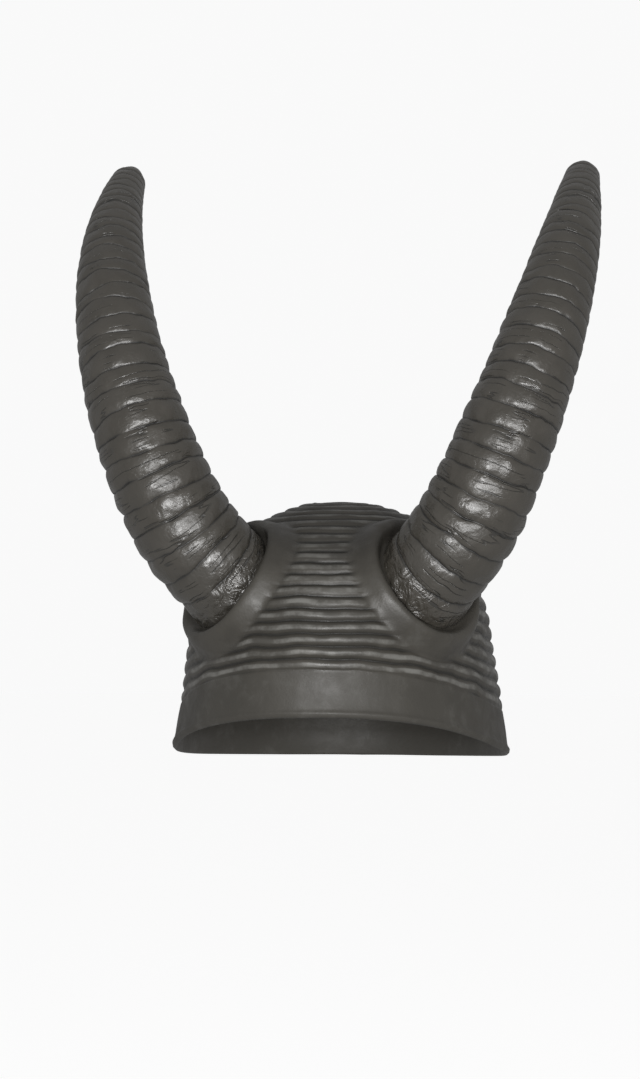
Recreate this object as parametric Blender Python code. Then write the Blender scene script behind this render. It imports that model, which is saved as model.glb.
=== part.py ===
"""A latex skull cap with two curved, ribbed latex horns glued into its sockets.

The cap is one hollow casting: a plain smooth band round its rim, even raised ridges above it, and a
dished oval socket with a thick lip for each horn. Both horns are hollow castings, open below, that
sweep up and back in one curve. Each side of the piece mirrors the other.
Metres, +Z up. The front faces -Y, and left and right are the wearer's, so left is +X.
The origin is the centre of the head opening, level with the sides of the rim.
"""
import math

import bmesh
import bpy
from mathutils import Vector

# Cap
CAP_WIDTH = 0.1430
CAP_FRONT = 0.0960
CAP_BACK = 0.0985
CAP_HEIGHT = 0.1160
SHOULDER_HEIGHT = 0.0490
SIDE_FLARE = 0.0085
NAPE_TUCK = 0.0050
WALL = 0.0022

# Ridges of the cap
RIDGE_COUNT = 20
RIDGE_DEPTH = 0.0014

# Horn sockets
SOCKET_TURN = 48.0
SOCKET_WIDTH = 0.0560
SOCKET_HEIGHT = 0.0540
SOCKET_LEVEL = 0.0800
SOCKET_DEPTH = 0.0040
LIP_RISE = 0.0058
LIP_SPREAD = 0.0078

# Horns
HORN_ROOT_WIDTH = 0.0480
HORN_RISE = 0.2050
HORN_OFFSET = 0.0015
SEAT_GAP = 0.0003
RIB_COUNT = 32
RIB_DEPTH = 0.0013
RIB_TAPER = 0.62

# Share of a horn's length that its round tip takes, and that its first rings take to turn off the seat
TIP_SHARE = 0.07
SEAT_SHARE = 0.08

# Lower edge of the cap and upper edge of its smooth band, round each side from the front centre.
# Columns: turn from the front in degrees, rim height and band height as shares of CAP_HEIGHT.
BROW = (
    (0.0, 0.150, 0.330),
    (15.0, 0.146, 0.326),
    (30.0, 0.130, 0.308),
    (46.0, 0.098, 0.274),
    (64.0, 0.045, 0.218),
    (80.0, -0.005, 0.166),
    (95.0, -0.035, 0.132),
    (115.0, -0.058, 0.104),
    (150.0, -0.080, 0.080),
    (180.0, -0.086, 0.074),
)

# Sections of a horn, from its seat to its tip.
# Columns: rise, way outward and way forward as shares of the horn's rise, width as a share of the root's.
HORN = (
    (0.000, 0.000, 0.000, 1.000),
    (0.090, 0.074, 0.038, 1.000),
    (0.160, 0.118, 0.052, 0.990),
    (0.250, 0.160, 0.056, 0.965),
    (0.350, 0.200, 0.044, 0.925),
    (0.450, 0.235, 0.014, 0.875),
    (0.550, 0.265, -0.034, 0.815),
    (0.645, 0.289, -0.098, 0.745),
    (0.735, 0.307, -0.178, 0.665),
    (0.815, 0.319, -0.270, 0.575),
    (0.885, 0.326, -0.372, 0.480),
    (0.948, 0.329, -0.484, 0.380),
    (1.000, 0.330, -0.600, 0.290),
)

# Fineness of the meshes
FRONT_TURN = 60.0
FRONT_COLUMNS = 20
REAR_COLUMNS = 24
INNER_ROWS = 10
SOCKET_SIDES = 26
HORN_SIDES = 16
HORN_INNER_ROWS = 12
PATH_STEPS = 12

WORLD_UP = Vector((0.0, 0.0, 1.0))
WORLD_BACK = Vector((0.0, 1.0, 0.0))


def clear_scene():
    """Remove whatever the scene holds."""
    for thing in list(bpy.data.objects):
        bpy.data.objects.remove(thing, do_unlink=True)


def latex(name, colour, roughness):
    """A latex finish."""
    material = bpy.data.materials.new(name)
    material.use_nodes = True
    shader = material.node_tree.nodes["Principled BSDF"]
    shader.inputs["Base Color"].default_value = (*colour, 1.0)
    shader.inputs["Roughness"].default_value = roughness
    shader.inputs["Metallic"].default_value = 0.0
    return material


def hermite(rows, at):
    """Read a table's columns at a value of its first column, on a smooth curve through its rows."""
    last = len(rows) - 1
    at = min(max(at, rows[0][0]), rows[last][0])
    index = 0
    while index < last - 1 and at > rows[index + 1][0]:
        index += 1
    start, end = rows[index], rows[index + 1]
    before, after = rows[max(index - 1, 0)], rows[min(index + 2, last)]
    span = end[0] - start[0]
    share = (at - start[0]) / span
    values = []
    for column in range(1, len(start)):
        leaving = (end[column] - before[column]) / (end[0] - before[0]) * span
        arriving = (after[column] - start[column]) / (after[0] - start[0]) * span
        values.append(
            (2 * share**3 - 3 * share**2 + 1) * start[column]
            + (share**3 - 2 * share**2 + share) * leaving
            + (3 * share**2 - 2 * share**3) * end[column]
            + (share**3 - share**2) * arriving
        )
    return values


def new_object(name, bm, material):
    """Turn a finished bmesh into a named, smooth-shaded object."""
    bmesh.ops.recalc_face_normals(bm, faces=bm.faces)
    mesh = bpy.data.meshes.new(name)
    bm.to_mesh(mesh)
    bm.free()
    mesh.shade_smooth()
    mesh.set_sharp_from_angle(angle=math.radians(50.0))
    if material:
        mesh.materials.append(material)
    thing = bpy.data.objects.new(name, mesh)
    bpy.context.scene.collection.objects.link(thing)
    return thing


def loft(rings, first_pole, last_pole):
    """A closed skin through rings of points, with a pole at each end."""
    bm = bmesh.new()
    loops = [[bm.verts.new(point) for point in ring] for ring in rings]
    for lower, upper in zip(loops, loops[1:]):
        for side in range(len(lower)):
            following = (side + 1) % len(lower)
            bm.faces.new((lower[side], lower[following], upper[following], upper[side]))
    for loop, pole in ((loops[0], first_pole), (loops[-1], last_pole)):
        tip = bm.verts.new(pole)
        for side in range(len(loop)):
            bm.faces.new((loop[side], loop[(side + 1) % len(loop)], tip))
    return bm


def boolean(thing, operation, tool):
    """Join a hidden helper to an object, or cut it out."""
    tool.hide_render = True
    tool.display_type = "WIRE"
    modifier = thing.modifiers.new(tool.name, "BOOLEAN")
    modifier.operation = operation
    modifier.solver = "EXACT"
    modifier.object = tool


def height_at(lift):
    """Height on the cap's outer skin; lift is an angle above the shoulder, and plain travel below it."""
    dome = CAP_HEIGHT - SHOULDER_HEIGHT
    return SHOULDER_HEIGHT + dome * (math.sin(lift) if lift > 0.0 else lift)


def lift_at(height):
    """The lift that height_at turns back into this height."""
    share = (height - SHOULDER_HEIGHT) / (CAP_HEIGHT - SHOULDER_HEIGHT)
    return math.asin(min(share, 1.0)) if share > 0.0 else share


def half_sizes(height):
    """Half width, front reach and back reach of the cap's outer skin at a height."""
    share = (height - SHOULDER_HEIGHT) / (CAP_HEIGHT - SHOULDER_HEIGHT)
    if share > 0.0:
        dome = math.sqrt(max(1.0 - share * share, 0.0))
        return CAP_WIDTH / 2 * dome, CAP_FRONT * dome, CAP_BACK * dome
    fall = 1.0 - height / SHOULDER_HEIGHT
    return CAP_WIDTH / 2 + SIDE_FLARE * fall, CAP_FRONT, CAP_BACK - NAPE_TUCK * fall * fall


def skin_point(turn, lift):
    """A point of the cap's plain outer skin."""
    height = height_at(lift)
    half_width, front, back = half_sizes(height)
    angle = math.radians(turn)
    reach = front if math.cos(angle) > 0.0 else back
    return Vector((half_width * math.sin(angle), -reach * math.cos(angle), height))


def cap_point(turn, lift, proud):
    """A point that stands proud of the cap's plain skin."""
    step = 0.01
    lift = min(lift, math.pi / 2 - step)
    across = skin_point(turn + step, lift) - skin_point(turn - step, lift)
    along = skin_point(turn, lift + step / 2) - skin_point(turn, lift - step / 2)
    return skin_point(turn, lift) + across.cross(along).normalized() * proud


def outside(point):
    """How far a point lies outside the cap's plain skin, as a share; negative is inside."""
    if point.z >= CAP_HEIGHT:
        return 1.0
    half_width, front, back = half_sizes(point.z)
    reach = front if point.y < 0.0 else back
    return math.hypot(point.x / half_width, point.y / reach) - 1.0


def rise_to_skin(point, direction):
    """How far a point has to move along a direction to lie on the cap's plain skin."""
    low, high = -CAP_HEIGHT / 3, CAP_HEIGHT / 3
    for _ in range(40):
        middle = (low + high) / 2
        if outside(point + direction * middle) > 0.0:
            high = middle
        else:
            low = middle
    return (low + high) / 2


def brow(turn):
    """Heights of the rim and of the band's upper edge at a turn from the front."""
    return [share * CAP_HEIGHT for share in hermite(BROW, abs(turn))]


def column_turns():
    """Turns of the cap's columns, closer together over the brow."""
    turns = [FRONT_TURN * (2 * index / FRONT_COLUMNS - 1) for index in range(FRONT_COLUMNS)]
    rear = 360.0 - 2 * FRONT_TURN
    turns += [FRONT_TURN + rear * index / REAR_COLUMNS for index in range(REAR_COLUMNS)]
    return [turn if turn <= 180.0 else turn - 360.0 for turn in turns]


def cap_ring(share, proud, from_rim=False):
    """A ring of the cap, at a share of the way from the band's edge, or the rim, to the crown."""
    points = []
    for turn in column_turns():
        rim, band = brow(turn)
        lift = lift_at(rim if from_rim else band)
        points.append(cap_point(turn, lift + (math.pi / 2 - lift) * share, proud))
    return points


def band_ring(share, proud):
    """A ring on the band, at a share of the way from the rim to its upper edge."""
    points = []
    for turn in column_turns():
        rim, band = brow(turn)
        points.append(cap_point(turn, lift_at(rim + (band - rim) * share), proud))
    return points


def ridge_share(index):
    """Share of the way to the crown that a ridge line lies at."""
    return index / RIDGE_COUNT


def make_shell(material):
    """The hollow cap with its ridges, before its sockets."""
    inner = [cap_ring((row / INNER_ROWS) ** 0.9, -WALL, True) for row in range(INNER_ROWS)]
    outer = [band_ring(0.0, 0.0), band_ring(0.5, 0.0), band_ring(0.97, 0.0)]
    for index in range(RIDGE_COUNT - 1):
        outer.append(cap_ring(ridge_share(index), -RIDGE_DEPTH / 2))
        outer.append(cap_ring(ridge_share(index + 0.5), RIDGE_DEPTH / 2))
    top = Vector((0.0, 0.0, CAP_HEIGHT))
    return new_object("cap", loft(inner[::-1] + outer, top - WORLD_UP * WALL, top), material)


def socket_frame(side):
    """Centre of a socket's floor, its outward normal, and its two axes, outward and up the dome."""
    turn = SOCKET_TURN * side
    lift = lift_at(SOCKET_LEVEL)
    skin = cap_point(turn, lift, 0.0)
    normal = (cap_point(turn, lift, WALL) - skin).normalized()
    outward = WORLD_UP.cross(normal).normalized() * side
    upward = normal.cross(outward) * side
    return skin - normal * SOCKET_DEPTH, normal, outward, upward


def socket_ring(side, spread, level):
    """An oval ring round a socket; level gives its height over the floor from the skin's height there."""
    centre, normal, outward, upward = socket_frame(side)
    points = []
    for index in range(SOCKET_SIDES):
        angle = 2 * math.pi * index / SOCKET_SIDES
        across = (SOCKET_WIDTH / 2 + spread) * math.cos(angle)
        along = (SOCKET_HEIGHT / 2 + spread) * math.sin(angle)
        point = centre + outward * across + upward * along
        points.append(point + normal * level(rise_to_skin(point, normal)))
    return points


def make_socket(name, side):
    """The dished socket of one horn: a flat floor, a thick round lip and a skirt down to the skin."""
    centre, normal = socket_frame(side)[:2]

    def crest(skin):
        return LIP_RISE + 0.45 * skin

    rings = [
        socket_ring(side, 0.0, lambda skin: -WALL),
        socket_ring(side, WALL, lambda skin: min(-WALL, skin - WALL)),
        socket_ring(side, LIP_SPREAD, lambda skin: skin - 0.9 * WALL),
        socket_ring(side, LIP_SPREAD * 1.25, lambda skin: skin - 0.4 * WALL),
        socket_ring(side, LIP_SPREAD * 0.85, lambda skin: skin * 0.35 + crest(skin) * 0.65),
        socket_ring(side, LIP_SPREAD * 0.50, crest),
        socket_ring(side, LIP_SPREAD * 0.22, lambda skin: crest(skin) * 0.8),
        socket_ring(side, 0.0, lambda skin: 0.0),
    ]
    return new_object(name, loft(rings, centre - normal * WALL, centre), None)


def make_well(name, side):
    """The plug that opens the cap's wall under a socket."""
    centre, normal = socket_frame(side)[:2]
    reach = CAP_HEIGHT / 6
    rings = [
        socket_ring(side, WALL * 0.6, lambda skin: -reach),
        socket_ring(side, WALL * 0.6, lambda skin: reach),
    ]
    return new_object(name, loft(rings, centre - normal * reach, centre + normal * reach), None)


def make_cap():
    """The whole cap."""
    cap = make_shell(latex("cap_latex", (0.075, 0.075, 0.070), 0.62))
    for side, name in ((-1, "right"), (1, "left")):
        boolean(cap, "DIFFERENCE", make_well(name + "_well", side))
        boolean(cap, "UNION", make_socket(name + "_socket", side))
    return cap


def horn_path(side):
    """Points and widths along a horn's middle line, with the distance travelled to each."""
    centre, normal, outward = socket_frame(side)[:3]
    seat = centre + outward * HORN_OFFSET + normal * SEAT_GAP
    rows = [(index, *row) for index, row in enumerate(HORN)]
    path = []
    travelled = 0.0
    for step in range((len(HORN) - 1) * PATH_STEPS + 1):
        up, out, forward, width = hermite(rows, step / PATH_STEPS)
        point = seat + Vector((side * out, -forward, up)) * HORN_RISE
        travelled += (point - path[-1][1]).length if path else 0.0
        path.append((travelled, point, width * HORN_ROOT_WIDTH))
    return path


def path_at(path, share):
    """Point, direction and width at a share of a horn's length."""
    goal = share * path[-1][0]
    index = 1
    while index < len(path) - 1 and path[index][0] < goal:
        index += 1
    before, after = path[index - 1], path[index]
    between = (goal - before[0]) / (after[0] - before[0])
    point = before[1].lerp(after[1], between)
    low, high = path[max(index - 3, 0)], path[min(index + 2, len(path) - 1)]
    width = before[2] + (after[2] - before[2]) * between
    return point, (high[1] - low[1]).normalized(), width * math.sqrt(min(1.0, (1.0 - share) / TIP_SHARE))


def horn_ring(path, normal, share, inset):
    """A ring of a horn, square to its middle line, or in the plane of its seat at the root."""
    point, direction, width = path_at(path, share)
    turned = min(share / SEAT_SHARE, 1.0)
    axis = normal.lerp(direction, turned).normalized()
    across = WORLD_BACK.cross(axis).normalized()
    along = axis.cross(across)
    radius = max(width / 2 - inset, WALL / 4)
    ring = []
    for index in range(HORN_SIDES):
        angle = 2 * math.pi * index / HORN_SIDES
        ring.append(point + (across * math.cos(angle) + along * math.sin(angle)) * radius)
    return ring


def rib_share(index):
    """Share of a horn's ribbed length that a groove lies at; ribs grow shorter towards the tip."""
    pitch_loss = (1.0 - RIB_TAPER) / 2
    place = index / RIB_COUNT
    return (place - pitch_loss * place * place) / (1.0 - pitch_loss) * (1.0 - TIP_SHARE / 2)


def make_horn(name, side):
    """One hollow ribbed horn, open at its seat."""
    material = latex(name + "_latex", (0.060, 0.060, 0.056), 0.42)
    path = horn_path(side)
    normal = socket_frame(side)[1]
    inner_end = 1.0 - TIP_SHARE
    inner = []
    for row in range(HORN_INNER_ROWS + 1):
        share = inner_end * row / HORN_INNER_ROWS
        inner.append(horn_ring(path, normal, share, WALL + RIB_DEPTH))
    outer = []
    for index in range(RIB_COUNT):
        groove = RIB_DEPTH * path_at(path, rib_share(index))[2] / HORN_ROOT_WIDTH
        outer.append(horn_ring(path, normal, rib_share(index), groove))
        outer.append(horn_ring(path, normal, rib_share(index + 0.5), 0.0))
    outer.append(horn_ring(path, normal, 1.0 - TIP_SHARE / 8, 0.0))
    inner_tip = path_at(path, inner_end + TIP_SHARE / 4)[0]
    return new_object(name, loft(inner[::-1] + outer, inner_tip, path[-1][1]), material)


def main():
    clear_scene()
    make_cap()
    make_horn("horn_right", -1)
    make_horn("horn_left", 1)


main()
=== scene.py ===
"""The looks of a latex skull cap with two curved, ribbed latex horns.

Each CAD solid is replaced by a finer skin on the same form: the cap with its smooth band, even ridges
and dished sockets, and both horns with their round ribs and leathery hide. Metres, +Z up, front at -Y.
Left and right are the wearer's, so left is +X. The sides mirror each other, but for small unevenness.
"""
import math

import bpy
import numpy as np
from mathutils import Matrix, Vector


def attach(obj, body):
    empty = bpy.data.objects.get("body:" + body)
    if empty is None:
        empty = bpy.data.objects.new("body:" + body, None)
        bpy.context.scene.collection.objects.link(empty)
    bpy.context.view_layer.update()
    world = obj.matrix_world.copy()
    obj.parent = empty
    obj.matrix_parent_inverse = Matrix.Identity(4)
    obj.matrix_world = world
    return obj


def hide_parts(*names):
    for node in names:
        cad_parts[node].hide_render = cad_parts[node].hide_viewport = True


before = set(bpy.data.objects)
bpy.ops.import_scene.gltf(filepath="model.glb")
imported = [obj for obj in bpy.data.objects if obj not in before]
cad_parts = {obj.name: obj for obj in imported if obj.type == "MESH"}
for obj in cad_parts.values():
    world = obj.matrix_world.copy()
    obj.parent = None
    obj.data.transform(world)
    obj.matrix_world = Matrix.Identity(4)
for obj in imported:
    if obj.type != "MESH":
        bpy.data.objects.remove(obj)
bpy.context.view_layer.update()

MM = 0.001

# Sizes and tables of the cap, as the solids have them
CAP_WIDTH = 0.1430
CAP_FRONT = 0.0960
CAP_BACK = 0.0985
CAP_HEIGHT = 0.1160
SHOULDER_HEIGHT = 0.0490
SIDE_FLARE = 0.0085
NAPE_TUCK = 0.0050
WALL = 0.0022
RIDGE_COUNT = 20
RIDGE_DEPTH = 0.0014
SOCKET_TURN = 48.0
SOCKET_WIDTH = 0.0560
SOCKET_HEIGHT = 0.0540
SOCKET_LEVEL = 0.0800
SOCKET_DEPTH = 0.0040
LIP_RISE = 0.0058
LIP_SPREAD = 0.0078

# Columns: turn from the front in degrees, rim height and band height as shares of CAP_HEIGHT
BROW = (
    (0.0, 0.150, 0.330),
    (15.0, 0.146, 0.326),
    (30.0, 0.130, 0.308),
    (46.0, 0.098, 0.274),
    (64.0, 0.045, 0.218),
    (80.0, -0.005, 0.166),
    (95.0, -0.035, 0.132),
    (115.0, -0.058, 0.104),
    (150.0, -0.080, 0.080),
    (180.0, -0.086, 0.074),
)

# Sizes and table of the horns, as the solids have them
HORN_ROOT_WIDTH = 0.0480
HORN_RISE = 0.2050
HORN_OFFSET = 0.0015
SEAT_GAP = 0.0003
RIB_COUNT = 32
RIB_DEPTH = 0.0013
RIB_TAPER = 0.62
TIP_SHARE = 0.07
SEAT_SHARE = 0.08
PATH_STEPS = 12

# Columns: rise, way outward and way forward as shares of the horn's rise, width as a share of the root's
HORN = (
    (0.000, 0.000, 0.000, 1.000),
    (0.090, 0.074, 0.038, 1.000),
    (0.160, 0.118, 0.052, 0.990),
    (0.250, 0.160, 0.056, 0.965),
    (0.350, 0.200, 0.044, 0.925),
    (0.450, 0.235, 0.014, 0.875),
    (0.550, 0.265, -0.034, 0.815),
    (0.645, 0.289, -0.098, 0.745),
    (0.735, 0.307, -0.178, 0.665),
    (0.815, 0.319, -0.270, 0.575),
    (0.885, 0.326, -0.372, 0.480),
    (0.948, 0.329, -0.484, 0.380),
    (1.000, 0.330, -0.600, 0.290),
)

# Finer form that only the skins have
RIDGE_SHARPNESS = 2.2
RIDGE_WANDER = 0.10
LAST_RIDGE_SHARE = 0.93
BAND_STEP = 0.45 * MM
RIM_BEAD = 0.6 * MM
DENT_DEPTH = 0.5 * MM
LIP_TOP_SPREAD = LIP_SPREAD * 0.50
LIP_FOOT_SPREAD = LIP_SPREAD * 1.35
LIP_ROUNDNESS = 1.35
SOCKET_FLOOR_SPREAD = -2.5 * MM
LOWEST_SOCKET_RISE = -0.034
TIP_BLUNTNESS = 0.46
RIB_SHARPNESS = 2.6
RIB_UNEVENNESS = 0.16 * MM
HORN_GROWTH = 0.25 * MM
GROOVE_WIDTH = 0.30 * MM
GROOVE_DEPTH = 0.35 * MM
GROOVE_TILT = 0.08
GROOVE_WAVE = 0.07
GROOVE_RIPPLE = 0.03
HIDE_LUMPS = 0.18 * MM
HIDE_CRUMPLES = 0.06 * MM
GLUE_REACH = 7.0 * MM
GLUE_DEPTH = 0.8 * MM

# Fineness of the skins
CAP_FRONT_TURN = 86.0
CAP_FRONT_COLUMNS = 230
CAP_REAR_COLUMNS = 130
CAP_BAND_ROWS = 36
CAP_DOME_ROWS = 200
CAP_INNER_ROWS = 14
HORN_SIDES = 148
RIB_STEPS = (0.0, 0.025, 0.05, 0.085, 0.14, 0.24, 0.38, 0.5, 0.62, 0.76, 0.86, 0.915, 0.95, 0.975)
TIP_ROWS = 16
HORN_INNER_ROWS = 10

# Camera: the lens and distance that the photograph's perspective gives, and its turn from the front
CAMERA_TURN = 7.3
CAMERA_DISTANCE = 1.800
CAMERA_SIDE = -0.010
CAMERA_HEIGHT = 0.098
CAMERA_LENS = 125.05

# Stage: the floor, the surround as the camera and as the part sees it, and the lights' places and powers
FLOOR_HEIGHT = -0.35
FLOOR_RADIUS = 9.0
FLOOR_GLOW = 0.678
SEEN_SURROUND = (0.95, 0.95, 0.95, 1.0)
FELT_SURROUND = (0.33, 0.33, 0.33, 1.0)
LIT_POINT = (0.0, -0.05, 0.15)
KEY_LEFT_PLACE = (0.00, -1.75, 0.10)
KEY_LEFT_SIZE = (0.34, 0.50)
KEY_LEFT_POWER = 15.0
KEY_RIGHT_PLACE = (0.75, -1.60, 0.10)
KEY_RIGHT_SIZE = (0.30, 0.50)
KEY_RIGHT_POWER = 9.0


def read_table(rows, at):
    """Read a table's columns at values of its first column, on a smooth curve through its rows."""
    rows = np.array(rows)
    last = len(rows) - 1
    at = np.clip(at, rows[0, 0], rows[last, 0])
    index = np.clip(np.searchsorted(rows[:, 0], at) - 1, 0, last - 1)
    start, end = rows[index], rows[index + 1]
    before, after = rows[np.maximum(index - 1, 0)], rows[np.minimum(index + 2, last)]
    span = end[..., :1] - start[..., :1]
    share = (at[..., None] - start[..., :1]) / span
    leaving = (end - before) / (end[..., :1] - before[..., :1]) * span
    arriving = (after - start) / (after[..., :1] - start[..., :1]) * span
    values = (
        (2 * share**3 - 3 * share**2 + 1) * start
        + (share**3 - 2 * share**2 + share) * leaving
        + (3 * share**2 - 2 * share**3) * end
        + (share**3 - share**2) * arriving
    )
    return values[..., 1:]


def smooth(low, high, value):
    """0 below low, 1 above high, and a soft step between."""
    share = np.clip((value - low) / (high - low), 0.0, 1.0)
    return share * share * (3.0 - 2.0 * share)


def unit(vectors):
    """Vectors at length 1."""
    return vectors / np.maximum(np.linalg.norm(vectors, axis=-1, keepdims=True), 1e-12)


def wander(points, size, seed):
    """A smooth, repeatable wander between about -1 and 1, with features of a size, at points."""
    draw = np.random.default_rng(seed)
    total = np.zeros(points.shape[:-1])
    for _ in range(9):
        heading = unit(draw.normal(size=points.shape[-1])) * draw.uniform(0.6, 1.6) * 2 * math.pi / size
        total += np.sin(points @ heading + draw.uniform(0.0, 2 * math.pi))
    return total / 3.6


def ridge_height(phase, sharpness):
    """Round crests with narrow grooves, from 0 to 1; a groove lies at each whole phase."""
    share = phase - np.floor(phase)
    return 1.0 - np.abs(2.0 * share - 1.0) ** sharpness


# Form of the cap


def height_at(lift):
    """Height on the cap's outer skin; lift is an angle above the shoulder, and plain travel below it."""
    return SHOULDER_HEIGHT + (CAP_HEIGHT - SHOULDER_HEIGHT) * np.where(lift > 0.0, np.sin(lift), lift)


def lift_at(height):
    """The lift that height_at turns back into this height."""
    share = (height - SHOULDER_HEIGHT) / (CAP_HEIGHT - SHOULDER_HEIGHT)
    return np.where(share > 0.0, np.arcsin(np.clip(share, 0.0, 1.0)), share)


def skin_point(turn, lift):
    """Points of the cap's plain outer skin."""
    height = height_at(lift)
    share = (height - SHOULDER_HEIGHT) / (CAP_HEIGHT - SHOULDER_HEIGHT)
    dome = np.sqrt(np.maximum(1.0 - np.maximum(share, 0.0) ** 2, 0.0))
    fall = np.where(share > 0.0, 0.0, 1.0 - height / SHOULDER_HEIGHT)
    angle = np.radians(turn)
    back = CAP_BACK * dome - NAPE_TUCK * fall * fall
    reach = np.where(np.cos(angle) > 0.0, CAP_FRONT * dome, back)
    half_width = CAP_WIDTH / 2 * dome + SIDE_FLARE * fall
    return np.stack([half_width * np.sin(angle), -reach * np.cos(angle), height], axis=-1)


def skin_normal(turn, lift):
    """Outward normals of the cap's plain outer skin."""
    step = 0.01
    lift = np.minimum(lift, math.pi / 2 - step)
    across = skin_point(turn + step, lift) - skin_point(turn - step, lift)
    along = skin_point(turn, lift + step / 2) - skin_point(turn, lift - step / 2)
    return unit(np.cross(across, along))


def brow(turn):
    """Heights of the rim and of the band's upper edge at turns from the front."""
    both = read_table(BROW, np.abs(turn)) * CAP_HEIGHT
    return both[..., 0], both[..., 1]


def socket_frame(side):
    """Centre of a socket's floor, its outward normal, and its two axes, outward and up the dome."""
    turn = np.array(SOCKET_TURN * side)
    lift = lift_at(np.array(SOCKET_LEVEL))
    normal = skin_normal(turn, lift)
    outward = unit(np.cross((0.0, 0.0, 1.0), normal)) * side
    return skin_point(turn, lift) - normal * SOCKET_DEPTH, normal, outward, np.cross(normal, outward) * side


def socket_spread(points, side):
    """How far points lie outside the oval of a socket's floor, and their height over that floor."""
    centre, normal, outward, upward = socket_frame(side)
    way = points - centre
    across, along, rise = way @ outward, way @ upward, way @ normal
    half_width, half_height = SOCKET_WIDTH / 2, SOCKET_HEIGHT / 2
    spread = np.hypot(across, along) - (half_width + half_height) / 2
    for _ in range(8):
        wide = np.maximum(half_width + spread, 2 * MM)
        high = np.maximum(half_height + spread, 2 * MM)
        ratio = np.hypot(across / wide, along / high)
        spread = spread + (ratio - 1.0) * np.minimum(wide, high) * 0.8
    return spread, rise


def dished(points, side, inner=False):
    """Points of the cap's skin, moved along a socket's normal to its floor and its thick round lip."""
    spread, rise = socket_spread(points, side)
    crest = LIP_RISE + 0.45 * rise
    inside = crest * smooth(SOCKET_FLOOR_SPREAD, LIP_TOP_SPREAD, spread)
    fade = smooth(LIP_TOP_SPREAD, LIP_FOOT_SPREAD, spread) ** LIP_ROUNDNESS
    target = np.where(spread < LIP_TOP_SPREAD, inside, crest * (1.0 - fade) + rise * fade)
    near = (spread < LIP_FOOT_SPREAD) & (rise > LOWEST_SOCKET_RISE)
    lift = np.where(near, target - rise, 0.0)
    if inner:
        lift = np.minimum(lift, 0.0)
    return points + socket_frame(side)[1] * lift[..., None]


def off_sockets(points):
    """0 on the sockets and their lips, and 1 clear of them."""
    clear = np.ones(points.shape[:-1])
    for side in (-1, 1):
        spread, rise = socket_spread(points, side)
        near = np.where(rise > LOWEST_SOCKET_RISE, spread, 1.0)
        clear = clear * smooth(LIP_FOOT_SPREAD * 0.8, LIP_FOOT_SPREAD * 1.2, near)
    return clear


# Meshes


def skin_mesh(name, rings, first_pole, last_pole, values):
    """A closed skin through rings of points, a pole at each end, with named values at its points."""
    count, sides = rings.shape[:2]
    points = np.concatenate([rings.reshape(-1, 3), [first_pole, last_pole]])
    row = np.arange(count - 1)[:, None] * sides
    side = np.arange(sides)[None, :]
    following = (side + 1) % sides
    quads = np.stack([row + side, row + following, row + sides + following, row + sides + side], axis=-1)
    ends = np.arange(sides)
    first = np.stack([(ends + 1) % sides, ends, np.full(sides, count * sides)], axis=-1)
    last = np.stack([ends, (ends + 1) % sides, np.full(sides, count * sides + 1)], axis=-1)
    last[:, :2] += (count - 1) * sides
    mesh = bpy.data.meshes.new(name)
    faces = quads.reshape(-1, 4).tolist() + first.tolist() + last.tolist()
    mesh.from_pydata(points.tolist(), [], faces)
    for key, value in values.items():
        flat = value.reshape(-1, 3) if value.ndim == 3 else value.reshape(-1)
        flat = np.concatenate([flat, flat[:1], flat[-1:]]).astype(np.float32)
        kind = "FLOAT_VECTOR" if value.ndim == 3 else "FLOAT"
        field = "vector" if value.ndim == 3 else "value"
        mesh.attributes.new(key, kind, "POINT").data.foreach_set(field, flat.ravel())
    mesh.shade_smooth()
    mesh.update()
    thing = bpy.data.objects.new(name, mesh)
    bpy.context.scene.collection.objects.link(thing)
    return thing


def grid_normals(grid):
    """Outward normals of a grid of points that closes round its second axis."""
    across = np.roll(grid, -1, axis=1) - np.roll(grid, 1, axis=1)
    along = np.gradient(grid, axis=0)
    return unit(np.cross(across, along))


def cap_turns():
    """Turns of the cap's columns, closer together round the front."""
    front = np.linspace(-CAP_FRONT_TURN, CAP_FRONT_TURN, CAP_FRONT_COLUMNS + 1)
    rear = np.linspace(CAP_FRONT_TURN, 360.0 - CAP_FRONT_TURN, CAP_REAR_COLUMNS + 1)[1:-1]
    return np.concatenate([front, np.where(rear > 180.0, rear - 360.0, rear)])


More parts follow.
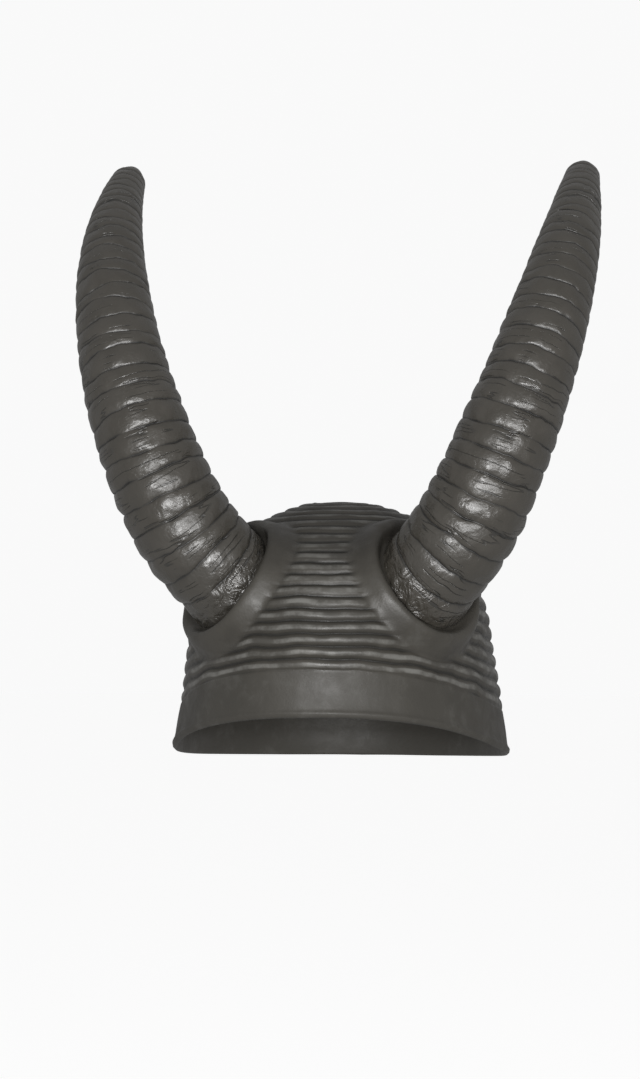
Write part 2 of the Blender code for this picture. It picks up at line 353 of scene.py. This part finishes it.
def make_cap():
    """The cap's skin, outside and inside."""
    turns = cap_turns()
    rim, band = brow(turns)
    band_share = np.linspace(0.0, 1.0, CAP_BAND_ROWS + 1)[:, None]
    band_lift = lift_at(rim + (band - rim) * band_share)
    dome_share = (np.arange(1, CAP_DOME_ROWS) / CAP_DOME_ROWS)[:, None]
    dome_lift = lift_at(band) + (math.pi / 2 - lift_at(band)) * dome_share
    lift = np.concatenate([band_lift, dome_lift])
    turn = np.broadcast_to(turns, lift.shape)
    plain = skin_point(turn, lift)
    steps = np.linalg.norm(np.diff(plain, axis=0), axis=-1)
    travel = np.concatenate([np.zeros((1, len(turns))), np.cumsum(steps, axis=0)])
    from_band = travel - travel[CAP_BAND_ROWS]

    up_dome = np.concatenate([np.zeros((CAP_BAND_ROWS + 1, 1)), dome_share]) * np.ones_like(turn)
    shown = smooth(0.0, 1.2 * MM, from_band) * off_sockets(plain)
    shown = shown * (1.0 - smooth(LAST_RIDGE_SHARE - 0.02, LAST_RIDGE_SHARE, up_dome))
    shift = RIDGE_WANDER * wander(plain, 24 * MM, 3) + RIDGE_WANDER / 4 * wander(plain, 9 * MM, 4)
    phase = up_dome * RIDGE_COUNT + shift
    ridges = (ridge_height(phase, RIDGE_SHARPNESS) - 0.5) * RIDGE_DEPTH * shown

    step = -BAND_STEP * smooth(-0.2 * MM, 1.0 * MM, from_band)
    step = step * (1.0 - smooth(2.0 * MM, 9.0 * MM, from_band))
    bead = RIM_BEAD * np.exp(-(((travel - 1.6 * MM) / (1.1 * MM)) ** 2))
    dents = DENT_DEPTH * wander(plain, 60 * MM, 9) + DENT_DEPTH / 5 * wander(plain, 14 * MM, 10)
    outer = dished(dished(plain, -1), 1)
    proud = ridges + step + bead + dents * smooth(0.0, 6 * MM, travel)
    outer = outer + grid_normals(outer) * proud[..., None]

    edge_low = skin_point(turns, lift_at(rim) - 0.012) - skin_normal(turns, lift_at(rim)) * WALL * 0.5
    inner_share = (np.arange(CAP_INNER_ROWS) / CAP_INNER_ROWS)[:, None]
    inner_lift = lift_at(rim) + (math.pi / 2 - lift_at(rim)) * inner_share
    inner_turn = np.broadcast_to(turns, inner_lift.shape)
    inner = skin_point(inner_turn, inner_lift) - skin_normal(inner_turn, inner_lift) * WALL
    inner = dished(dished(inner, -1, True), 1, True)
    rings = np.concatenate([inner[::-1], edge_low[None], outer])
    hidden = len(inner) + 1

    def padded(values, filler):
        return np.concatenate([np.full((hidden, len(turns)), filler), values])

    values = {
        "phase": padded(phase, 0.0),
        "shown": padded(shown, 0.0),
        "from_band": padded(from_band / MM, -20.0),
    }
    top = np.array([0.0, 0.0, CAP_HEIGHT])
    return skin_mesh("cap_skin", rings, top - (0.0, 0.0, WALL), top, values)


# Form of the horns


def horn_path(side):
    """Points and widths along a horn's middle line, with the distance travelled to each."""
    centre, normal, outward = socket_frame(side)[:3]
    seat = centre + outward * HORN_OFFSET + normal * SEAT_GAP
    rows = [(index, *row) for index, row in enumerate(HORN)]
    steps = np.arange((len(HORN) - 1) * PATH_STEPS + 1) / PATH_STEPS
    up, out, forward, width = read_table(rows, steps).T
    points = seat + np.stack([side * out, -forward, up], axis=-1) * HORN_RISE
    travelled = np.concatenate([[0.0], np.cumsum(np.linalg.norm(np.diff(points, axis=0), axis=-1))])
    return travelled, points, width * HORN_ROOT_WIDTH


def path_at(path, share):
    """Points, directions and widths at shares of a horn's length."""
    travelled, points, width = path
    goal = share * travelled[-1]

    def at(where):
        return np.stack([np.interp(where, travelled, points[:, axis]) for axis in range(3)], axis=-1)

    reach = travelled[-1] * 0.008
    low, high = np.maximum(goal - reach, 0.0), np.minimum(goal + reach, travelled[-1])
    tip = np.clip((1.0 - share) / TIP_SHARE, 0.0, 1.0) ** TIP_BLUNTNESS
    return at(goal), unit(at(high) - at(low)), np.interp(goal, travelled, width) * tip


def rib_share(index):
    """Share of a horn's ribbed length that a groove lies at; ribs grow shorter towards the tip."""
    pitch_loss = (1.0 - RIB_TAPER) / 2
    place = index / RIB_COUNT
    return (place - pitch_loss * place * place) / (1.0 - pitch_loss) * (1.0 - TIP_SHARE / 2)


def horn_rings(path, normal, share, radius, shift, angle):
    """Rings of a horn, square to its middle line, or in the plane of its seat at the root."""
    point, direction, _ = path_at(path, share)
    turned = np.minimum(share / SEAT_SHARE, 1.0)[:, None]
    axis = unit(normal * (1.0 - turned) + direction * turned)
    across = unit(np.cross((0.0, 1.0, 0.0), axis))
    along = np.cross(axis, across)
    away = across[:, None] * np.cos(angle)[..., None] + along[:, None] * np.sin(angle)[..., None]
    return point[:, None] + away * radius[..., None] + axis[:, None] * shift[..., None]


def make_horn(name, side, seed):
    """One horn's skin: round, uneven ribs with thin grooves, a round tip, and its hollow inside."""
    path = horn_path(side)
    length = path[0][-1]
    normal = socket_frame(side)[1]
    index = (np.arange(RIB_COUNT)[:, None] + np.array(RIB_STEPS)).ravel()
    last_rib = rib_share(float(RIB_COUNT))
    tip = last_rib + (1.0 - last_rib) * np.sin(np.linspace(0.0, math.pi / 2, TIP_ROWS + 1))[:-1]
    share = np.concatenate([rib_share(index), tip])
    index = np.concatenate([index, np.full(TIP_ROWS, float(RIB_COUNT))])
    angles = np.linspace(0.0, 2 * math.pi, HORN_SIDES, endpoint=False)
    angle = np.broadcast_to(angles, (len(share), HORN_SIDES))
    width = path_at(path, share)[2][:, None]
    scale = width / HORN_ROOT_WIDTH
    travelled = np.broadcast_to((share * length)[:, None], angle.shape)
    hide = np.stack([np.cos(angle) * width / 2, np.sin(angle) * width / 2, travelled], axis=-1)

    draw = np.random.default_rng(seed)
    tilt = draw.normal(0.0, 1.0, RIB_COUNT + 1)
    lean = draw.uniform(0.0, 2 * math.pi, RIB_COUNT + 1)
    uneven = draw.uniform(-1.0, 1.0, RIB_COUNT + 1)
    tone = draw.uniform(-1.0, 1.0, RIB_COUNT + 1)
    pitch = length / RIB_COUNT
    lower = np.floor(index).astype(int)
    upper = np.minimum(lower + 1, RIB_COUNT)
    band = np.minimum(lower, RIB_COUNT - 1)
    along = (index - lower)[:, None]
    between = along * along * (3 - 2 * along)

    def groove_shift(which):
        own = GROOVE_TILT * tilt[which][:, None] * np.cos(angle - lean[which][:, None])
        level = np.broadcast_to((which * 7.3 * MM)[:, None], angle.shape)
        place = np.stack([np.cos(angle) * 11 * MM, np.sin(angle) * 11 * MM, level], axis=-1)
        wavy = GROOVE_WAVE * wander(place, 13 * MM, seed + 1)
        rippled = GROOVE_RIPPLE * wander(place, 4 * MM, seed + 6)
        return pitch * (own + wavy + rippled)

    shift = groove_shift(lower) * (1.0 - between) + groove_shift(upper) * between
    shift = shift * (smooth(0.0, 0.05, share) * (1.0 - smooth(0.93, 0.965, share)))[:, None]

    ribbed = (1.0 - smooth(0.95, 0.966, share))[:, None] * np.where(index < 0.4, 0.0, 1.0)[:, None]
    strength = np.clip(0.80 + 0.25 * wander(hide, 16 * MM, seed + 2), 0.35, 1.15) * ribbed
    rib_length = (np.gradient(rib_share(np.arange(RIB_COUNT + 1.0)))[band] * length)[:, None]
    from_groove = np.minimum(along, 1.0 - along) * rib_length
    cut = np.exp(-((from_groove / GROOVE_WIDTH) ** 1.5)) * strength
    valley = (1.0 - ridge_height(along, RIB_SHARPNESS)) * strength
    radius = width / 2 + (HORN_GROWTH - RIB_DEPTH * valley - GROOVE_DEPTH * cut) * scale
    radius = radius + RIB_UNEVENNESS * uneven[band][:, None] * scale * ribbed
    radius = radius + HIDE_LUMPS * wander(hide, 9 * MM, seed + 3) * scale
    radius = radius + HIDE_CRUMPLES * wander(hide, 3.2 * MM, seed + 4) * scale
    glue = (1.0 - smooth(0.0, GLUE_REACH, travelled)) * (0.6 + 0.6 * wander(hide, 8 * MM, seed + 5))
    radius = np.maximum(radius + GLUE_DEPTH * np.maximum(glue, 0.0), 0.05 * MM)
    outer = horn_rings(path, normal, share, radius, shift, angle)

    inner_share = np.linspace(0.0, 1.0 - TIP_SHARE, HORN_INNER_ROWS)
    inner_angle = np.broadcast_to(angles, (HORN_INNER_ROWS, HORN_SIDES))
    inner_width = path_at(path, inner_share)[2][:, None] * np.ones_like(inner_angle)
    hollow = np.maximum(inner_width / 2 - WALL - RIB_DEPTH, WALL / 4)
    inner = horn_rings(path, normal, inner_share, hollow, np.zeros_like(hollow), inner_angle)
    rings = np.concatenate([inner[::-1], outer])

    def padded(values):
        filler = np.zeros((HORN_INNER_ROWS,) + values.shape[1:])
        return np.concatenate([filler, values])

    values = {
        "hide": padded(hide),
        "groove": padded(cut),
        "valley": padded(valley),
        "tone": padded(np.broadcast_to(tone[band][:, None], angle.shape)),
        "travelled": padded(travelled / MM),
    }
    inner_tip = path_at(path, np.array([1.0 - TIP_SHARE * 0.75]))[0][0]
    return skin_mesh(name, rings, inner_tip, path[1][-1], values)


# Materials


class Nodes:
    """A material's node tree, with short ways to add nodes to it."""

    def __init__(self, name):
        self.material = bpy.data.materials.new(name)
        self.material.use_nodes = True
        self.tree = self.material.node_tree
        self.shader = self.tree.nodes["Principled BSDF"]

    def add(self, kind, **settings):
        node = self.tree.nodes.new(kind)
        for key, value in settings.items():
            setattr(node, key, value)
        return node

    def put(self, socket, value):
        if isinstance(value, bpy.types.NodeSocket):
            self.tree.links.new(value, socket)
        else:
            socket.default_value = value

    def math(self, operation, first, second=0.0, third=0.0):
        node = self.add("ShaderNodeMath", operation=operation)
        for socket, value in zip(node.inputs, (first, second, third)):
            self.put(socket, value)
        return node.outputs[0]

    def value(self, name):
        return self.add("ShaderNodeAttribute", attribute_name=name).outputs["Fac"]

    def vector(self, name):
        return self.add("ShaderNodeAttribute", attribute_name=name).outputs["Vector"]

    def noise(self, where, scale, detail=4.0, roughness=0.55, distortion=0.0):
        node = self.add("ShaderNodeTexNoise")
        self.put(node.inputs["Vector"], where)
        node.inputs["Scale"].default_value = scale
        node.inputs["Detail"].default_value = detail
        node.inputs["Roughness"].default_value = roughness
        node.inputs["Distortion"].default_value = distortion
        return node.outputs["Fac"]

    def cells(self, where, scale):
        node = self.add("ShaderNodeTexVoronoi")
        self.put(node.inputs["Vector"], where)
        node.inputs["Scale"].default_value = scale
        return node.outputs["Distance"]

    def step(self, value, low, high, bottom=0.0, top=1.0):
        node = self.add("ShaderNodeMapRange", interpolation_type="SMOOTHSTEP")
        self.put(node.inputs["Value"], value)
        for key, number in (("From Min", low), ("From Max", high), ("To Min", bottom), ("To Max", top)):
            node.inputs[key].default_value = number
        return node.outputs["Result"]

    def mix(self, share, first, second):
        node = self.add("ShaderNodeMix", data_type="RGBA")
        self.put(node.inputs["Factor"], share)
        for socket, value in ((node.inputs[6], first), (node.inputs[7], second)):
            self.put(socket, (*value, 1.0) if isinstance(value, tuple) else value)
        return node.outputs[2]

    def stretch(self, where, scale):
        node = self.add("ShaderNodeMapping")
        self.put(node.inputs["Vector"], where)
        node.inputs["Scale"].default_value = scale
        return node.outputs["Vector"]

    def bump(self, height, distance):
        node = self.add("ShaderNodeBump")
        node.inputs["Distance"].default_value = distance
        self.put(node.inputs["Height"], height)
        return node.outputs["Normal"]


def cap_latex():
    """Matt dark latex with painted shade in its grooves and towards the crown, and lightly scuffed ridge
    crests, lightened partly as a painted highlight.
    """
    nodes = Nodes("cap_latex_worn")
    place = nodes.add("ShaderNodeTexCoord").outputs["Object"]
    share = nodes.math("FRACT", nodes.value("phase"))
    away = nodes.math("ABSOLUTE", nodes.math("MULTIPLY_ADD", share, 2.0, -1.0))
    ridge = nodes.math("SUBTRACT", 1.0, nodes.math("POWER", away, RIDGE_SHARPNESS))
    shown = nodes.value("shown")
    # groove marks where painted shade darkens the grooves between the ridges
    groove = nodes.math("MULTIPLY", nodes.step(ridge, 0.10, 0.66, 1.0, 0.0), shown)
    crest = nodes.math("MULTIPLY", nodes.step(ridge, 0.82, 1.0), shown)
    blotch = nodes.noise(place, 45.0, 5.0, 0.6)
    scuff = nodes.step(nodes.noise(place, 85.0, 6.0, 0.6), 0.38, 0.66, 0.15, 1.0)
    # Painted shade: the dome is darkened towards the crown, where the low front lights leave it in shade;
    # the same mask also thins the scuffs there.
    crown_shade_and_scuff_fade = nodes.step(nodes.value("from_band"), 42.0, 70.0)
    scuff = nodes.math("MULTIPLY", scuff, nodes.step(crown_shade_and_scuff_fade, 0.0, 1.0, 1.0, 0.45))
    # Real scuffs on the ridge crests, which also carry a painted highlight on the crests.
    crest_wear_and_highlight = nodes.math("MULTIPLY", crest, scuff)

    band = nodes.step(nodes.value("from_band"), -1.0, 0.3, 1.0, 0.0)
    base = nodes.mix(nodes.step(blotch, 0.35, 0.65), (0.046, 0.042, 0.035), (0.062, 0.057, 0.048))
    base = nodes.mix(nodes.math("MULTIPLY", band, 0.65), base, (0.058, 0.054, 0.046))
    # Painted shade towards the crown.
    base = nodes.mix(nodes.math("MULTIPLY", crown_shade_and_scuff_fade, 0.45), base, (0.022, 0.020, 0.017))
    # Painted shade: the grooves between the ridges are darkened in the base colour.
    base = nodes.mix(nodes.math("MULTIPLY", groove, 0.75), base, (0.012, 0.012, 0.011))
    # The scuffed crests are lightened partly as wear and partly as a painted highlight.
    base = nodes.mix(nodes.math("MULTIPLY", crest_wear_and_highlight, 0.80), base, (0.210, 0.206, 0.192))
    rubbed = nodes.step(nodes.noise(place, 70.0, 7.0, 0.68), 0.50, 0.68)
    rubbed = nodes.math("MULTIPLY", rubbed, nodes.step(shown, 0.0, 0.6, 0.30, 0.0))
    base = nodes.mix(rubbed, base, (0.120, 0.116, 0.106))
    nodes.put(nodes.shader.inputs["Base Color"], base)

    gloss = nodes.step(nodes.noise(place, 120.0, 5.0, 0.65), 0.3, 0.75, 0.50, 0.36)
    gloss = nodes.math("SUBTRACT", gloss, nodes.math("MULTIPLY", crest_wear_and_highlight, 0.06))
    gloss = nodes.math("ADD", gloss, nodes.math("MULTIPLY", band, 0.10))
    nodes.put(nodes.shader.inputs["Roughness"], gloss)
    nodes.shader.inputs["Specular IOR Level"].default_value = 0.5

    relief = nodes.math("MULTIPLY", nodes.math("MULTIPLY", ridge, shown), 0.30)
    grain = nodes.math("MULTIPLY", nodes.noise(place, 900.0, 4.0, 0.6), 0.055)
    skin = nodes.math("MULTIPLY", nodes.noise(place, 210.0, 5.0, 0.6), 0.20)
    height = nodes.math("ADD", relief, nodes.math("ADD", grain, skin))
    nodes.put(nodes.shader.inputs["Normal"], nodes.bump(height, MM))
    return nodes.material


def horn_latex(name):
    """Semi-gloss dark latex with painted shade in its grooves, rib valleys and fine cracks, and a pitted,
    leathery hide.
    """
    nodes = Nodes(name)
    hide = nodes.vector("hide")
    groove = nodes.value("groove")
    valley = nodes.value("valley")
    tone = nodes.value("tone")
    root = nodes.step(nodes.value("travelled"), 7.0, 17.0, 1.0, 0.0)
    blotch = nodes.noise(hide, 60.0, 5.0, 0.62)
    base = nodes.mix(nodes.step(blotch, 0.34, 0.66), (0.046, 0.041, 0.033), (0.060, 0.054, 0.045))
    base = nodes.mix(nodes.step(tone, -1.0, 1.0, 0.0, 0.30), base, (0.054, 0.050, 0.043))
    # Painted shade: the rib valleys and the grooves are darkened in the base colour.
    base = nodes.mix(nodes.step(valley, 0.25, 1.0, 0.0, 0.45), base, (0.024, 0.022, 0.019))
    base = nodes.mix(nodes.step(groove, 0.12, 0.75, 0.0, 0.90), base, (0.012, 0.012, 0.012))
    drawn = nodes.noise(nodes.stretch(hide, (0.4, 0.4, 6.0)), 42.0, 1.5, 0.5)
    line = nodes.step(nodes.math("ABSOLUTE", nodes.math("SUBTRACT", drawn, 0.5)), 0.004, 0.018, 1.0, 0.0)
    crack = nodes.math("MULTIPLY", line, nodes.step(nodes.noise(hide, 55.0, 2.0), 0.48, 0.56))
    # Painted shade: the fine cracks are darkened in the base colour.
    base = nodes.mix(nodes.math("MULTIPLY", crack, 0.60), base, (0.016, 0.016, 0.015))
    nodes.put(nodes.shader.inputs["Base Color"], base)

    gloss = nodes.step(nodes.noise(hide, 95.0, 6.0, 0.68), 0.32, 0.68, 0.41, 0.27)
    gloss = nodes.math("SUBTRACT", gloss, nodes.math("MULTIPLY", root, 0.03))
    gloss = nodes.math("ADD", gloss, nodes.math("MULTIPLY", groove, 0.25))
    nodes.put(nodes.shader.inputs["Roughness"], gloss)
    nodes.shader.inputs["Specular IOR Level"].default_value = 0.9

    flat = nodes.stretch(hide, (1.0, 1.0, 1.6))
    wrinkle = nodes.math("MULTIPLY", nodes.noise(flat, 300.0, 4.0, 0.55, 0.6), 0.28)
    pits = nodes.step(nodes.cells(flat, 420.0), 0.05, 0.45)
    sparse = nodes.step(nodes.noise(hide, 140.0, 3.0), 0.45, 0.62)
    pitted = nodes.math("MULTIPLY", nodes.math("MULTIPLY", pits, sparse), 0.08)
    grain = nodes.math("MULTIPLY", nodes.noise(hide, 1100.0, 3.0, 0.5), 0.022)
    rough = nodes.noise(hide, 150.0, 3.0, 0.55, 1.8)
    glued = nodes.math("MULTIPLY", nodes.math("MULTIPLY", rough, root), 1.3)
    height = nodes.math("ADD", nodes.math("ADD", wrinkle, pitted), nodes.math("ADD", grain, glued))
    height = nodes.math("SUBTRACT", height, nodes.math("MULTIPLY", crack, 0.30))
    nodes.put(nodes.shader.inputs["Normal"], nodes.bump(height, MM))
    return nodes.material


# Stage


def place_camera():
    """The camera at the photograph's viewing angle."""
    turn = math.radians(CAMERA_TURN)
    forward = Vector((-math.sin(turn), math.cos(turn), 0.0))
    right = Vector((math.cos(turn), math.sin(turn), 0.0))
    data = bpy.data.cameras.new("camera")
    data.lens = CAMERA_LENS
    data.sensor_width = 36.0
    camera = bpy.data.objects.new("camera", data)
    camera.location = right * CAMERA_SIDE - forward * CAMERA_DISTANCE + Vector((0.0, 0.0, CAMERA_HEIGHT))
    camera.rotation_euler = (math.pi / 2, 0.0, turn)
    bpy.context.scene.collection.objects.link(camera)
    bpy.context.scene.camera = camera


def area_light(name, place, size, power):
    """A soft white panel light, aimed at the part."""
    data = bpy.data.lights.new(name, "AREA")
    data.shape = "RECTANGLE"
    data.size, data.size_y = size
    data.energy = power
    light = bpy.data.objects.new(name, data)
    light.location = place
    light.rotation_euler = (Vector(LIT_POINT) - Vector(place)).to_track_quat("-Z", "Y").to_euler()
    bpy.context.scene.collection.objects.link(light)


def make_stage():
    """A pale floor, a pale surround and soft studio lights."""
    mesh = bpy.data.meshes.new("floor")
    corners = [(-1, -1), (1, -1), (1, 1), (-1, 1)]
    points = [(x * FLOOR_RADIUS, y * FLOOR_RADIUS, FLOOR_HEIGHT) for x, y in corners]
    mesh.from_pydata(points, [], [(0, 1, 2, 3)])
    floor = bpy.data.objects.new("floor", mesh)
    bpy.context.scene.collection.objects.link(floor)
    nodes = Nodes("floor_white")
    nodes.shader.inputs["Base Color"].default_value = (0.80, 0.80, 0.80, 1.0)
    nodes.shader.inputs["Roughness"].default_value = 0.9
    nodes.shader.inputs["Emission Color"].default_value = (1.0, 1.0, 1.0, 1.0)
    nodes.shader.inputs["Emission Strength"].default_value = FLOOR_GLOW
    mesh.materials.append(nodes.material)
    floor.visible_diffuse = False
    floor.visible_glossy = False

    world = bpy.data.worlds.new("surround")
    world.use_nodes = True
    tree = world.node_tree
    seen = tree.nodes["Background"]
    seen.inputs["Color"].default_value = SEEN_SURROUND
    felt = tree.nodes.new("ShaderNodeBackground")
    felt.inputs["Color"].default_value = FELT_SURROUND
    choice = tree.nodes.new("ShaderNodeMixShader")
    tree.links.new(tree.nodes.new("ShaderNodeLightPath").outputs["Is Camera Ray"], choice.inputs["Fac"])
    tree.links.new(felt.outputs["Background"], choice.inputs[1])
    tree.links.new(seen.outputs["Background"], choice.inputs[2])
    tree.links.new(choice.outputs["Shader"], tree.nodes["World Output"].inputs["Surface"])
    bpy.context.scene.world = world
    area_light("key_left", KEY_LEFT_PLACE, KEY_LEFT_SIZE, KEY_LEFT_POWER)
    area_light("key_right", KEY_RIGHT_PLACE, KEY_RIGHT_SIZE, KEY_RIGHT_POWER)


def dress(thing, node, material):
    """Put a skin in the place of its CAD node."""
    thing.data.materials.append(material)
    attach(thing, "root")
    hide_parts(node)


def main():
    bpy.context.scene.view_settings.view_transform = "Standard"
    make_stage()
    place_camera()
    dress(make_cap(), "cap", cap_latex())
    right = make_horn("horn_right_skin", -1, seed=21)
    left = make_horn("horn_left_skin", 1, seed=57)
    dress(right, "horn_right", horn_latex("horn_right_latex_worn"))
    dress(left, "horn_left", horn_latex("horn_left_latex_worn"))


main()
